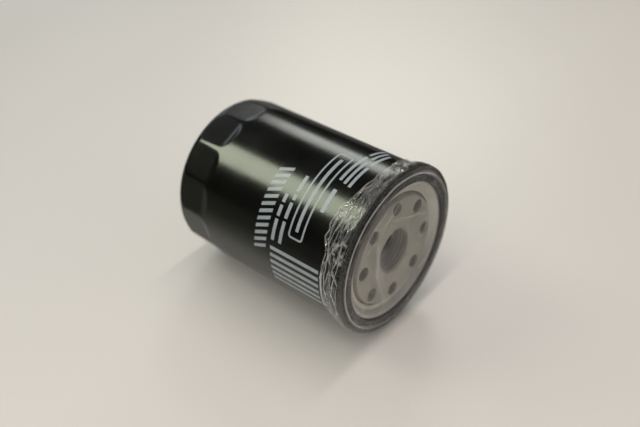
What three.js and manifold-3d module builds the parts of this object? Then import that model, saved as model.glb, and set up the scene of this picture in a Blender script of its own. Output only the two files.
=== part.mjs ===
// Spin-on engine oil filter, lying on its side.
// Millimetres, +Z up. The filter's axis is X: x = 0 is the flat at the middle of
// the closed (dome) end, and the threaded end faces +X. One wrench flat faces
// straight up and one inlet hole sits straight above the thread.
// Every turned profile is a list of [radius, x] points.
import * as THREE from 'three';
import { mergeVertices } from 'three/addons/utils/BufferGeometryUtils.js';
import Module from 'manifold-3d';

const wasm = await Module();
wasm.setup();

// ---------------------------------------------------------- driving dimensions
const LENGTH = 88.4;          // dome end to the gasket's sealing face
const SHEET = 0.6;            // drawn steel sheet
const GAP = 0.3;              // clearance between neighbouring pieces

const CAN_R = 32.5;           // outside radius of the can
const CAN_LIP_X = 86.4;       // top of the can's turned-out lip

const SEAM_R = 34.2;          // outside radius of the rolled seam
const SEAM_X = 87.9;          // crest of the rolled seam
const SEAM_BACK_X = 84.2;     // back of the rolled seam
const CHANNEL_RO = 31.0;      // gasket channel, outer wall
const CHANNEL_RI = 27.6;      // gasket channel, inner wall
const CHANNEL_X = 83.4;       // gasket channel floor

const PLATE_T = 3.0;
const PLATE_FACE_X = 86.9;    // outer face of the raised middle of the plate
const PLATE_RIM_X = 84.6;     // outer face of the plate's rim

const CAP_R = 28.8;           // element end caps
const CAP_RIM = 4.0;          // depth of the caps' rims
const UPPER_CAP_X = 14.0;     // outer face of the cap at the dome end
const LOWER_CAP_X = 75.2;     // outer face of the cap at the threaded end
const ELEMENT_X0 = UPPER_CAP_X + SHEET + GAP; // space between the caps
const ELEMENT_X1 = LOWER_CAP_X - SHEET - GAP;

const BOND_T = 1.0;           // thickness of the bond rings
const MEDIA_X0 = ELEMENT_X0 + BOND_T + GAP;
const MEDIA_X1 = ELEMENT_X1 - BOND_T - GAP;

// Segments round the axis
const SEGMENTS = { housing: 42, cap: 36, soft: 32, tube: 24, poppet: 20 };

// --------------------------------------------------------------------- helpers
// Merges vertices, drops collapsed triangles and turns the faces outwards.
function weld(geometry) {
  const bare = new THREE.BufferGeometry();
  bare.setAttribute('position', geometry.attributes.position);
  bare.setIndex(geometry.index);
  const merged = mergeVertices(bare, 1e-4);
  const index = merged.index.array;
  const vertex = (i) => new THREE.Vector3().fromBufferAttribute(merged.attributes.position, i);
  const triangles = [];
  let signedVolume = 0;
  for (let i = 0; i < index.length; i += 3) {
    const [a, b, c] = [index[i], index[i + 1], index[i + 2]];
    if (a === b || b === c || c === a) continue;
    triangles.push([a, b, c]);
    signedVolume += vertex(a).dot(vertex(b).cross(vertex(c)));
  }
  merged.setIndex(triangles.flatMap(([a, b, c]) => (signedVolume < 0 ? [a, c, b] : [a, b, c])));
  return merged;
}

function toManifold(geometry) {
  const welded = weld(geometry);
  return new wasm.Manifold(new wasm.Mesh({
    numProp: 3,
    vertProperties: welded.attributes.position.array,
    triVerts: Uint32Array.from(welded.index.array),
  }));
}

function toGeometry(manifold) {
  const mesh = manifold.getMesh();
  const geometry = new THREE.BufferGeometry();
  const positions = Float32Array.from(mesh.vertProperties);
  geometry.setAttribute('position', new THREE.BufferAttribute(positions, 3));
  geometry.setIndex(Array.from(mesh.triVerts));
  return geometry;
}

const repeat = (count, make) => Array.from({ length: count }, (_, i) => make(i));

const union = (geometries) => geometries.map(toManifold).reduce((sum, part) => sum.add(part));

const cutFrom = (geometry, cutters) => toGeometry(toManifold(geometry).subtract(union(cutters)));

// A solid of revolution about X. The profile starts and ends on the axis, or is
// closed on itself here.
function turned(profile, segments, phase = 0) {
  const points = profile.map(([radius, x]) => new THREE.Vector2(radius, x));
  const onAxis = profile[0][0] === 0 && profile.at(-1)[0] === 0;
  if (!onAxis) points.push(points[0].clone());
  const geometry = new THREE.LatheGeometry(points, segments);
  geometry.rotateY(phase);
  geometry.rotateZ(-Math.PI / 2);
  return geometry;
}

// A turned ring of rectangular section.
function ring(innerR, outerR, x0, x1, segments) {
  return turned([[innerR, x0], [outerR, x0], [outerR, x1], [innerR, x1]], segments);
}

// A flat shape pushed along +X; its own x axis points to -Z and its y to +Y.
function pushed(shape, x0, x1) {
  const geometry = new THREE.ExtrudeGeometry(shape, {
    depth: x1 - x0, bevelEnabled: false, steps: 1,
  });
  geometry.rotateY(Math.PI / 2);
  geometry.translate(x0, 0, 0);
  return geometry;
}

const polar = (radius, angle) => (
  new THREE.Vector2(radius * Math.cos(angle), radius * Math.sin(angle))
);

// Centre line of a coil spring about X. The first and last turns are closed:
// each climbs only closedRise, a little more than the wire.
class Helix extends THREE.Curve {
  constructor(radius, x0, x1, turns, closedRise) {
    super();
    Object.assign(this, { radius, x0, x1, turns, closedRise });
  }

  getPoint(t, target = new THREE.Vector3()) {
    const { radius, x0, x1, turns, closedRise } = this;
    const turn = t * turns;
    const pitch = (x1 - x0 - 2 * closedRise) / (turns - 2);
    let x = x0 + closedRise + pitch * (turn - 1);
    if (turn < 1) x = x0 + closedRise * turn;
    else if (turn > turns - 1) x = x1 - closedRise * (turns - turn);
    const angle = turn * 2 * Math.PI;
    return target.set(x, radius * Math.cos(angle), radius * Math.sin(angle));
  }
}

// A spring of six-sided wire; x0 and x1 are its outer ends.
function coil({ radius, wire, x0, x1, turns, stepsPerTurn }) {
  const sides = 6;
  const section = new THREE.Shape(repeat(sides, (i) => polar(wire / 2, i / sides * 2 * Math.PI)));
  return new THREE.ExtrudeGeometry(section, {
    steps: Math.round(turns * stepsPerTurn),
    bevelEnabled: false,
    extrudePath: new Helix(radius, x0 + wire / 2, x1 - wire / 2, turns, wire + GAP),
  });
}

// --------------------------------------------------------------------- housing
const FLATS = 14;             // wrench flats at the closed end
const FLAT_APOTHEM = 31.85;   // half of the size across flats
const FLAT_END_X = 17.0;      // where the flats run out
const DOME_FLAT_R = 19.0;     // flat middle of the closed end
const CAN_LIP_RI = CAN_R + GAP;
const CAN_LIP_RO = SEAM_R - SHEET - GAP;
const CAN_LIP_BACK_X = 85.1;  // free edge of the turned-back lip

// Blocks whose inner faces lie on the wrench flats.
function flatCutters(apothem) {
  const overrun = 4;
  const width = 16;
  const depth = 6;
  return repeat(FLATS, (i) => {
    const box = new THREE.BoxGeometry(FLAT_END_X + overrun, width, depth);
    box.translate((FLAT_END_X - overrun) / 2, 0, apothem + depth / 2);
    box.rotateX(i / FLATS * 2 * Math.PI);
    return box;
  });
}

// Deep-drawn can: an open cup with flats pressed into its closed end, and a lip
// turned out and back at the open end, which the lid is rolled over.
function can() {
  const phase = Math.PI / SEGMENTS.housing;
  const openX = CAN_LIP_X + 1; // the hollow runs out past the lip
  const outer = [
    [0, 0], [DOME_FLAT_R, 0], [26.9, 0.9], [30.2, 2.3], [32.0, 4.8], [CAN_R, 7.4],
    [CAN_R, CAN_LIP_X - SHEET], [CAN_LIP_RI, CAN_LIP_X - SHEET], [CAN_LIP_RI, CAN_LIP_BACK_X],
    [CAN_LIP_RO, CAN_LIP_BACK_X], [CAN_LIP_RO, CAN_LIP_X], [0, CAN_LIP_X],
  ];
  const inner = [
    [0, SHEET], [DOME_FLAT_R - 0.1, SHEET], [26.6, 1.45], [29.75, 2.8], [31.4, 5.1],
    [CAN_R - SHEET, 7.5], [CAN_R - SHEET, openX], [0, openX],
  ];
  const flattened = (profile, apothem) => (
    toManifold(turned(profile, SEGMENTS.housing, phase)).subtract(union(flatCutters(apothem)))
  );
  const hollow = flattened(inner, FLAT_APOTHEM - SHEET);
  return toGeometry(flattened(outer, FLAT_APOTHEM).subtract(hollow));
}

// Thin sheet rolled over the can's lip, pressed into the gasket channel, over its
// inner ridge, and down to a flange on the plate's rim.
function seamingLid() {
  const flangeR = 23.4;
  const flangeX = PLATE_RIM_X + GAP;
  return turned([
    [flangeR, flangeX], [24.9, flangeX], [26.5, 86.4], [CHANNEL_RI - SHEET, 86.4],
    [CHANNEL_RI - SHEET, CHANNEL_X - SHEET], [CHANNEL_RO + SHEET, CHANNEL_X - SHEET],
    [CHANNEL_RO + SHEET, SEAM_X - SHEET], [SEAM_R - SHEET, SEAM_X - SHEET],
    [SEAM_R - SHEET, SEAM_BACK_X + SHEET], [CAN_LIP_RI, SEAM_BACK_X + SHEET],
    [CAN_LIP_RI, SEAM_BACK_X], [SEAM_R - 0.3, SEAM_BACK_X], [SEAM_R, SEAM_BACK_X + 0.5],
    [SEAM_R, SEAM_X - 0.7], [SEAM_R - 0.6, SEAM_X], [CHANNEL_RO + 0.5, SEAM_X],
    [CHANNEL_RO, SEAM_X - 0.5], [CHANNEL_RO, CHANNEL_X], [CHANNEL_RI, CHANNEL_X],
    [CHANNEL_RI, 87.2], [27.2, 87.6], [26.6, 87.4],
    [24.9, flangeX + SHEET], [flangeR, flangeX + SHEET],
  ], SEGMENTS.housing);
}

// Thick pressed plate with a raised middle, inlet holes and a threaded collar
// drawn inwards.
function tappingPlate() {
  const threadMinorR = 8.73; // 3/4-16 unified fine thread, modelled plain
  const rimR = 26.5;
  const collarR = 11.2;
  const collarX = 79.0; // inner end of the collar
  const holes = 8;
  const holeR = 2.6;
  const holeCircleR = 18.7;
  const backX = PLATE_FACE_X - PLATE_T;
  const rimBackX = PLATE_RIM_X - PLATE_T;
  const body = turned([
    [threadMinorR, collarX], [threadMinorR, PLATE_FACE_X - 0.8], [9.55, PLATE_FACE_X],
    [21.9, PLATE_FACE_X], [22.4, PLATE_FACE_X - 0.4], [23.0, PLATE_RIM_X], [rimR, PLATE_RIM_X],
    [rimR, rimBackX], [22.9, rimBackX], [21.6, backX], [12.2, backX],
    [collarR, backX - 0.8], [collarR, collarX],
  ], SEGMENTS.housing);
  return cutFrom(body, repeat(holes, (i) => {
    const angle = i / holes * 2 * Math.PI;
    const drill = new THREE.CylinderGeometry(holeR, holeR, 12, 12);
    drill.rotateZ(-Math.PI / 2);
    drill.translate(PLATE_FACE_X - 2, holeCircleR * Math.sin(angle), holeCircleR * Math.cos(angle));
    return drill;
  }));
}

// Square-cut gasket that seals against the engine, standing proud of the seam.
function baseGasket() {
  const innerR = CHANNEL_RI + GAP;
  const outerR = CHANNEL_RO - GAP;
  const floorX = CHANNEL_X + GAP;
  const chamfer = 0.3;
  return turned([
    [innerR, floorX], [outerR, floorX], [outerR, LENGTH - chamfer], [outerR - chamfer, LENGTH],
    [innerR + chamfer, LENGTH], [innerR, LENGTH - chamfer],
  ], SEGMENTS.housing);
}

// Thin ring of sealing compound inside the rolled seam.
function seamSealant() {
  return ring(32.0, 33.0, CAN_LIP_X + GAP, SEAM_X - SHEET - GAP, SEGMENTS.housing);
}

// Moulded rubber: a sleeve round the threaded collar and a skirt whose lip lies
// on the plate's rim outside the inlet holes.
function antiDrainbackValve() {
  const sleeveRI = 11.6;
  const sleeveRO = 12.8;
  const sleeveX = 76.1;
  const lipX = PLATE_RIM_X - PLATE_T - GAP;
  return turned([
    [sleeveRI, sleeveX], [sleeveRI, 82.4], [12.3, 82.6], [13.4, 81.6], [22.6, 80.6],
    [23.4, lipX], [25.2, lipX], [25.4, 80.5], [23.2, 79.5], [13.8, 80.4],
    [sleeveRO, 79.2], [sleeveRO, sleeveX],
  ], SEGMENTS.soft);
}

// --------------------------------------------------------------------- element
const MEDIA_RI = 14.2;
const MEDIA_RO = 27.2;
const PAPER_T = 0.8;
const PLEATS = 36;
const PLEAT_PITCH = 2 * Math.PI / PLEATS;
const PLEAT_TIP_HALF = 0.26;  // half width of a pleat's tip, in pitches

// Corners of a closed star with blunt points; the half widths are in pitches.
function star(rootR, tipR, rootHalf, tipHalf) {
  const corners = [[rootR, -rootHalf], [tipR, -tipHalf], [tipR, tipHalf], [rootR, rootHalf]];
  return repeat(PLEATS, (i) => (
    corners.map(([radius, offset]) => polar(radius, (i + offset) * PLEAT_PITCH))
  )).flat();
}

// One sheet of filter paper folded into a closed star.
function pleatedMedia() {
  const shape = new THREE.Shape(star(MEDIA_RI + PAPER_T, MEDIA_RO, 0.36, PLEAT_TIP_HALF));
  shape.holes.push(new THREE.Path(star(MEDIA_RI, MEDIA_RO - PAPER_T, 0.17, 0.12)));
  return pushed(shape, MEDIA_X0, MEDIA_X1);
}

// U-shaped steel strip crimped over the lowest pleat, where the sheet's ends meet.
function mediaSeamClip() {
  const strip = 0.4;
  const endInset = 0.4;
  const legR = 23.6; // free edges of the legs
  const innerHalf = PLEAT_TIP_HALF * PLEAT_PITCH * MEDIA_RO + 0.32;
  const outerHalf = innerHalf + strip;
  const bridgeRI = MEDIA_RO + GAP;
  const bridgeRO = bridgeRI + strip;
  const outline = [
    [legR, -innerHalf], [legR, -outerHalf], [bridgeRO, -outerHalf], [bridgeRO, outerHalf],
    [legR, outerHalf], [legR, innerHalf], [bridgeRI, innerHalf], [bridgeRI, -innerHalf],
  ];
  const shape = new THREE.Shape(outline.map(([x, y]) => new THREE.Vector2(x, y)));
  return pushed(shape, MEDIA_X0 + endInset, MEDIA_X1 - endInset);
}

// Perforated tube that carries the paper against the oil pressure.
function centreTube() {
  const innerR = 13.0;
  const drillR = 1.5;
  const rows = 6;
  const firstRowX = 23.0;
  const rowPitch = 8.6;
  const drillsPerRow = 3; // each passes through both sides
  const tube = ring(innerR, innerR + SHEET, ELEMENT_X0, ELEMENT_X1, SEGMENTS.tube);
  return cutFrom(tube, repeat(rows * drillsPerRow, (i) => {
    const row = Math.floor(i / drillsPerRow);
    const stagger = (row % 2) / 2 + 0.125;
    const drill = new THREE.CylinderGeometry(drillR, drillR, 40, 6);
    drill.rotateX((i % drillsPerRow + stagger) * Math.PI / drillsPerRow);
    drill.translate(firstRowX + row * rowPitch, 0, 0);
    return drill;
  }));
}

// Pressed cup round the dome end of the paper.
function upperEndCap() {
  const holeR = 9.6;
  return turned([
    [holeR, UPPER_CAP_X], [CAP_R, UPPER_CAP_X], [CAP_R, UPPER_CAP_X + CAP_RIM],
    [CAP_R - SHEET, UPPER_CAP_X + CAP_RIM], [CAP_R - SHEET, UPPER_CAP_X + SHEET],
    [holeR, UPPER_CAP_X + SHEET],
  ], SEGMENTS.cap);
}

// Pressed cup round the threaded end, with a neck turned into the centre tube.
function lowerEndCap() {
  const neckR = 12.0;
  const neckX = LOWER_CAP_X - 3.6;
  return turned([
    [neckR, neckX], [neckR, LOWER_CAP_X], [CAP_R, LOWER_CAP_X], [CAP_R, LOWER_CAP_X - CAP_RIM],
    [CAP_R - SHEET, LOWER_CAP_X - CAP_RIM], [CAP_R - SHEET, LOWER_CAP_X - SHEET],
    [neckR + SHEET, LOWER_CAP_X - SHEET], [neckR + SHEET, neckX],
  ], SEGMENTS.cap);
}

// Cured plastisol that bonds one end of the paper into its cap.
const bondRing = (x0) => ring(14.0, 27.8, x0, x0 + BOND_T, SEGMENTS.soft);

// ---------------------------------------------------------------- bypass valve
const SEAT_X = 15.2;          // crest of the seat
const SEAL_X = SEAT_X + GAP;
const SEAL_T = 0.8;
const NOSE_R = 3.0;           // poppet's nose, inside the seal
const DISC_X = SEAL_X + SEAL_T + GAP;
const DISC_T = 0.6;
const CAGE_END_X = 26.9;      // inner face of the cage's end

// Seat ring crimped into the dome-end cap.
function bypassSeat() {
  const flangeX = UPPER_CAP_X - GAP;
  return turned([
    [6.2, 12.9], [11.0, 12.9], [11.0, flangeX], [9.2, flangeX],
    [9.2, 14.9], [7.2, 14.9], [6.9, SEAT_X], [6.2, SEAT_X],
  ], SEGMENTS.tube);
}

// Cage that holds the spring behind the valve, with four windows for the oil.
function bypassCage() {
  const stemHoleR = 2.3;
  const innerR = 9.5;
  const outerR = innerR + SHEET;
  const flangeR = 12.4;
  const window = { length: 8.6, width: 7.0, centreX: 21.4 };
  const cup = turned([
    [stemHoleR, CAGE_END_X], [innerR, CAGE_END_X], [innerR, ELEMENT_X0], [flangeR, ELEMENT_X0],
    [flangeR, ELEMENT_X0 + SHEET], [outerR, ELEMENT_X0 + SHEET], [outerR, CAGE_END_X + SHEET],
    [stemHoleR, CAGE_END_X + SHEET],
  ], SEGMENTS.tube);
  // two crossed bars, each cutting a pair of opposite windows
  return cutFrom(cup, repeat(2, (i) => {
    const bar = new THREE.BoxGeometry(window.length, window.width, 30);
    bar.translate(window.centreX, 0, 0);
    bar.rotateX(i * Math.PI / 2 + Math.PI / 4);
    return bar;
  }));
}

// Valve disc with its guide stem.
function bypassPoppet() {
  const discR = 8.2;
  const stemR = 1.9;
  const stemEndX = 28.4;
  return turned([
    [0, SEAL_X], [NOSE_R, SEAL_X], [NOSE_R, DISC_X], [discR, DISC_X], [discR, DISC_X + DISC_T],
    [3.2, DISC_X + DISC_T], [3.2, 18.6], [stemR, 19.4], [stemR, stemEndX], [0, stemEndX],
  ], SEGMENTS.poppet);
}

// Flat rubber washer that the disc presses on the seat.
function bypassSeal() {
  return ring(NOSE_R + GAP, 8.0, SEAL_X, SEAL_X + SEAL_T, SEGMENTS.poppet);
}

function bypassSpring() {
  return coil({
    radius: 5.4, wire: 0.8, turns: 4.5, stepsPerTurn: 12,
    x0: DISC_X + DISC_T + GAP, x1: CAGE_END_X - GAP,
  });
}

// Spring between the dome and the element, which pushes the element towards the
// anti-drainback valve.
function elementSpring() {
  return coil({
    radius: 16.0, wire: 1.8, turns: 3.5, stepsPerTurn: 16,
    x0: 0.95, x1: UPPER_CAP_X - GAP,
  });
}

// ------------------------------------------------------------------- packaging
// Clear shrink film stretched over the threaded end.
function shrinkFilmCap() {
  const outerR = 34.8;
  const innerR = SEAM_R + GAP;
  const skirtX = 76.0; // free edge of the skirt
  const innerX = LENGTH + GAP;
  const outerX = innerX + 0.2;
  return turned([
    [0, outerX], [33.6, outerX], [outerR, LENGTH - 0.7], [outerR, skirtX],
    [innerR, skirtX], [innerR, LENGTH - 0.8], [33.4, innerX], [0, innerX],
  ], SEGMENTS.housing);
}

// -------------------------------------------------------------------- assembly
const FINISHES = {
  black_paint: { color: 0x141413, roughness: 0.35, metalness: 0.0 },
  zinc_steel: { color: 0xa9a79c, roughness: 0.38, metalness: 0.9 },
  plate_steel: { color: 0x8f887d, roughness: 0.5, metalness: 0.85 },
  black_rubber: { color: 0x1b1b1a, roughness: 0.75, metalness: 0.0 },
  seam_compound: { color: 0x3b3a38, roughness: 0.8, metalness: 0.0 },
  valve_rubber: { color: 0x26221f, roughness: 0.7, metalness: 0.0 },
  filter_paper: { color: 0xd9b77a, roughness: 0.9, metalness: 0.0 },
  tin_steel: { color: 0xb5b4ae, roughness: 0.35, metalness: 0.9 },
  plastisol: { color: 0xb8452a, roughness: 0.6, metalness: 0.0 },
  spring_steel: { color: 0x5d5b58, roughness: 0.35, metalness: 0.9 },
  valve_nylon: { color: 0x2c2c2a, roughness: 0.5, metalness: 0.0 },
  clear_film: { color: 0xf2f4f4, roughness: 0.12, metalness: 0.0 },
};

const filter = new THREE.Group();
filter.name = 'oil_filter';

function addPiece(name, geometry, finish) {
  const material = new THREE.MeshStandardMaterial(FINISHES[finish]);
  const mesh = new THREE.Mesh(weld(geometry), material);
  mesh.name = name;
  filter.add(mesh);
}

addPiece('can', can(), 'black_paint');
addPiece('seaming_lid', seamingLid(), 'zinc_steel');
addPiece('tapping_plate', tappingPlate(), 'plate_steel');
addPiece('base_gasket', baseGasket(), 'black_rubber');
addPiece('seam_sealant', seamSealant(), 'seam_compound');
addPiece('anti_drainback_valve', antiDrainbackValve(), 'valve_rubber');
addPiece('pleated_media', pleatedMedia(), 'filter_paper');
addPiece('media_seam_clip', mediaSeamClip(), 'tin_steel');
addPiece('centre_tube', centreTube(), 'tin_steel');
addPiece('upper_end_cap', upperEndCap(), 'tin_steel');
addPiece('lower_end_cap', lowerEndCap(), 'tin_steel');
addPiece('upper_bond_ring', bondRing(ELEMENT_X0), 'plastisol');
addPiece('lower_bond_ring', bondRing(ELEMENT_X1 - BOND_T), 'plastisol');
addPiece('bypass_valve_seat', bypassSeat(), 'tin_steel');
addPiece('bypass_cage', bypassCage(), 'tin_steel');
addPiece('bypass_poppet', bypassPoppet(), 'valve_nylon');
addPiece('bypass_seal', bypassSeal(), 'valve_rubber');
addPiece('bypass_spring', bypassSpring(), 'spring_steel');
addPiece('element_spring', elementSpring(), 'spring_steel');
addPiece('shrink_film_cap', shrinkFilmCap(), 'clear_film');

export default filter;
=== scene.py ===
# Spin-on oil filter under a clear film, lying on a table. The filter's axis runs along X: closed
# end at x = 0, threaded end towards +X, +Z up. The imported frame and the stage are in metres;
# part sizes and patterns are in millimetres. Angles of turned parts run from +Z towards -Y,
# the camera's side.
import math
from functools import reduce

import bmesh
import bpy
import numpy as np
from mathutils import Matrix, Vector, noise


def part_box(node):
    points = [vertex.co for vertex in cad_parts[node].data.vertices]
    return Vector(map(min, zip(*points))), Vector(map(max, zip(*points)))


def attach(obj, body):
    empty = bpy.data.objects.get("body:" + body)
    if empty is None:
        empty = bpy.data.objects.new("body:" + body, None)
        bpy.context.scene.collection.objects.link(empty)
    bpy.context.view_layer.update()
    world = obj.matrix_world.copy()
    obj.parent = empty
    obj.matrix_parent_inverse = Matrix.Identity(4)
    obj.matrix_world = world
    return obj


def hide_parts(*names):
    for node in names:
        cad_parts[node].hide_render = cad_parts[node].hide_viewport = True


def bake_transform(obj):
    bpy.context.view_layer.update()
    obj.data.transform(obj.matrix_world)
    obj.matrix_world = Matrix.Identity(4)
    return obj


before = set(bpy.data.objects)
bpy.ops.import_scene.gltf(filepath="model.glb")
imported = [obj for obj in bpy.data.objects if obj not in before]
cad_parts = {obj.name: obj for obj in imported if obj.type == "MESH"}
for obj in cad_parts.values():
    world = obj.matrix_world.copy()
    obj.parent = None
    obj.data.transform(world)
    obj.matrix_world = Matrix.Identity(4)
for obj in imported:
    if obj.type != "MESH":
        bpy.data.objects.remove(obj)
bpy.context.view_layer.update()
scene = bpy.context.scene

MM = 0.001
PI = math.pi
CAN_RADIUS = 32.5
SHEET = 0.6  # thickness of the can and the pressed steel parts


# ------------------------------------------------------------------ meshes
def mesh_object(name, verts, faces):
    """A linked object from points in millimetres, with its faces turned outward."""
    mesh = bpy.data.meshes.new(name)
    mesh.from_pydata([tuple(v) for v in np.asarray(verts, float) * MM], [], faces)
    mesh.update()
    ob = bpy.data.objects.new(name, mesh)
    scene.collection.objects.link(ob)
    bm = bmesh.new()
    bm.from_mesh(mesh)
    bmesh.ops.recalc_face_normals(bm, faces=bm.faces)
    bm.to_mesh(mesh)
    bm.free()
    return ob


def shade(ob, angle):
    """Smooth shading, sharp at edges steeper than the angle in degrees (None: no sharp edges)."""
    mesh = ob.data
    mesh.shade_smooth()
    if angle is None:
        return
    bm = bmesh.new()
    bm.from_mesh(mesh)
    limit = math.radians(angle)
    for edge in bm.edges:
        edge.smooth = len(edge.link_faces) == 2 and edge.calc_face_angle(0) < limit
    bm.to_mesh(mesh)
    bm.free()


def coated_object(name, verts, faces, slot, smooth_angle):
    ob = mesh_object(name, verts, faces)
    shade(ob, smooth_angle)
    ob.data.materials.append(MATERIALS[slot])
    return ob


def new_part(name, verts, faces, body, slot, part, smooth_angle=40):
    """An object that rides a body and takes the place of one CAD part."""
    ob = coated_object(name, verts, faces, slot, smooth_angle)
    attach(ob, body)
    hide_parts(part)
    return ob


def grid_faces(rows, columns, close_rows=True, close_columns=True, base=0):
    """Quads over points stored row by row from index base."""
    faces = []
    for i in range(rows if close_rows else rows - 1):
        row, following = base + i * columns, base + (i + 1) % rows * columns
        for j in range(columns if close_columns else columns - 1):
            k = (j + 1) % columns
            faces.append((row + j, row + k, following + k, following + j))
    return faces


def drill_faces(base, steps, columns):
    """Side quads and the two end polygons of a drill stored as steps x columns points."""
    quads = grid_faces(steps, columns, close_columns=False, base=base)
    first = [base + k * columns for k in range(steps)]
    last = [i + columns - 1 for i in first]
    return quads, first, last


def cut_away(ob, cutters):
    """Subtract the cutters for good, and remove them."""
    for cutter in cutters:
        cut = ob.modifiers.new("cut", "BOOLEAN")
        cut.operation = "DIFFERENCE"
        cut.object = cutter
        cut.solver = "EXACT"
    depsgraph = bpy.context.evaluated_depsgraph_get()
    result = bpy.data.meshes.new_from_object(ob.evaluated_get(depsgraph))
    ob.modifiers.clear()
    materials = list(ob.data.materials)
    ob.data = result
    result.materials.clear()
    for material in materials:
        result.materials.append(material)
    for cutter in cutters:
        bpy.data.objects.remove(cutter)
    shade(ob, 33)


def round_corners(corners, steps=4):
    """A closed outline with arcs at its corners; each corner is (x, r, corner radius)."""
    points = [np.array(c[:2], float) for c in corners]
    out = []
    for i, corner in enumerate(points):
        radius = corners[i][2]
        u, v = points[i - 1] - corner, points[(i + 1) % len(points)] - corner
        length_u, length_v = np.linalg.norm(u), np.linalg.norm(v)
        u, v = u / length_u, v / length_v
        angle = math.acos(max(-1, min(1, float(u @ v))))
        if radius <= 0 or angle > math.radians(176):
            out.append(corner)
            continue
        # an arc may use a little under half of either side
        reach = min(radius / math.tan(angle / 2), 0.48 * length_u, 0.48 * length_v)
        radius = reach * math.tan(angle / 2)
        bisector = u + v
        bisector /= np.linalg.norm(bisector)
        centre = corner + bisector * (radius / math.sin(angle / 2))
        start = math.atan2(*(corner + u * reach - centre)[::-1])
        end = math.atan2(*(corner + v * reach - centre)[::-1])
        sweep = (end - start + PI) % (2 * PI) - PI
        for k in range(steps + 1):
            t = start + sweep * k / steps
            out.append(centre + radius * np.array([math.cos(t), math.sin(t)]))
    return np.array(out)


def ring_section(x0, x1, r0, r1, corner):
    """Corners of a rectangular section, all of one corner radius."""
    return [(x0, r0, corner), (x0, r1, corner), (x1, r1, corner), (x1, r0, corner)]


def densify(outline, step):
    """Split the sides of a closed outline so that none is longer than the step."""
    out = []
    for i, a in enumerate(outline):
        b = outline[(i + 1) % len(outline)]
        count = max(1, int(math.ceil(np.linalg.norm(b - a) / step)))
        out += [a + (b - a) * j / count for j in range(count)]
    return np.array(out)


def spin(outline, angles):
    """Grids of x, radius and angle: one row per angle, one column per outline point."""
    along = np.repeat(outline[None, :, 0], len(angles), 0)
    radius = np.repeat(outline[None, :, 1], len(angles), 0)
    return along, radius, np.repeat(angles[:, None], len(outline), 1)


def to_points(along, radius, angle):
    return np.stack([along, -radius * np.sin(angle), radius * np.cos(angle)], -1)


def full_turn(segments):
    return np.arange(segments) / segments * 2 * PI


def lathe(name, outline, segments, body, slot, part, shift=None, smooth_angle=40):
    """A closed (x, r) outline turned about X. shift(x, r, angle) may move its points."""
    along, radius, angle = spin(outline, full_turn(segments))
    if shift is not None:
        along, radius = shift(along, radius, angle)
    verts = to_points(along, radius, angle).reshape(-1, 3)
    faces = grid_faces(segments, len(outline))
    return new_part(name, verts, faces, body, slot, part, smooth_angle)


def noise_at(x, y, z):
    return noise.noise(Vector((x, y, z)))


# --------------------------------------------------------------- shader kit
def feed(tree, socket, value):
    """Link an output into the socket, or set the socket's own value."""
    if isinstance(value, Num):
        value = value.socket
    if isinstance(value, bpy.types.NodeSocket):
        tree.links.new(value, socket)
    else:
        socket.default_value = (*value, 1) if socket.type == "RGBA" else value


def add_node(tree, kind, inputs, **settings):
    node = tree.nodes.new(kind)
    for key, value in settings.items():
        setattr(node, key, value)
    for key, value in inputs.items():
        feed(tree, node.inputs[key], value)
    return node


class Num:
    """A number socket with arithmetic, so that a pattern reads like a formula."""
    def __init__(self, tree, socket):
        self.tree, self.socket = tree, socket

    def math(self, operation, *terms, clamp=False):
        node = add_node(self.tree, "ShaderNodeMath", dict(enumerate(terms)),
                        operation=operation, use_clamp=clamp)
        return Num(self.tree, node.outputs[0])

    def __add__(self, other): return self.math("ADD", self, other)
    def __sub__(self, other): return self.math("SUBTRACT", self, other)
    def __rsub__(self, other): return self.math("SUBTRACT", other, self)
    def __mul__(self, other): return self.math("MULTIPLY", self, other)
    def __truediv__(self, other): return self.math("DIVIDE", self, other)
    def __pow__(self, other): return self.math("POWER", self, other)
    def abs(self): return self.math("ABSOLUTE", self)
    def cos(self): return self.math("COSINE", self)
    def sin(self): return self.math("SINE", self)
    def sqrt(self): return self.math("SQRT", self)
    def max(self, other): return self.math("MAXIMUM", self, other)
    def min(self, other): return self.math("MINIMUM", self, other)
    def atan2(self, other): return self.math("ARCTAN2", self, other)
    def clamp(self): return self.math("ADD", self, 0.0, clamp=True)

    def rise(self, start, rate):
        """0 up to start, then rising to 1 at the rate."""
        return ((self - start) * rate).clamp()

    def fall(self, end, rate):
        """Falling at the rate to 0 at end."""
        return ((end - self) * rate).clamp()

    def remap(self, low, high, to):
        node = add_node(self.tree, "ShaderNodeMapRange",
                        {0: self, 1: low, 2: high, 3: to[0], 4: to[1]})
        return Num(self.tree, node.outputs[0])

    def fade(self, low, high, to=(0, 1)):
        """remap, held between 0 and 1."""
        return self.remap(low, high, to).clamp()


def hypot(a, b):
    return (a * a + b * b).sqrt()


def turn_angle(y, z):
    """Angle round the filter's axis, from +Z towards -Y."""
    return (y * -1.0).atan2(z)


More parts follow.
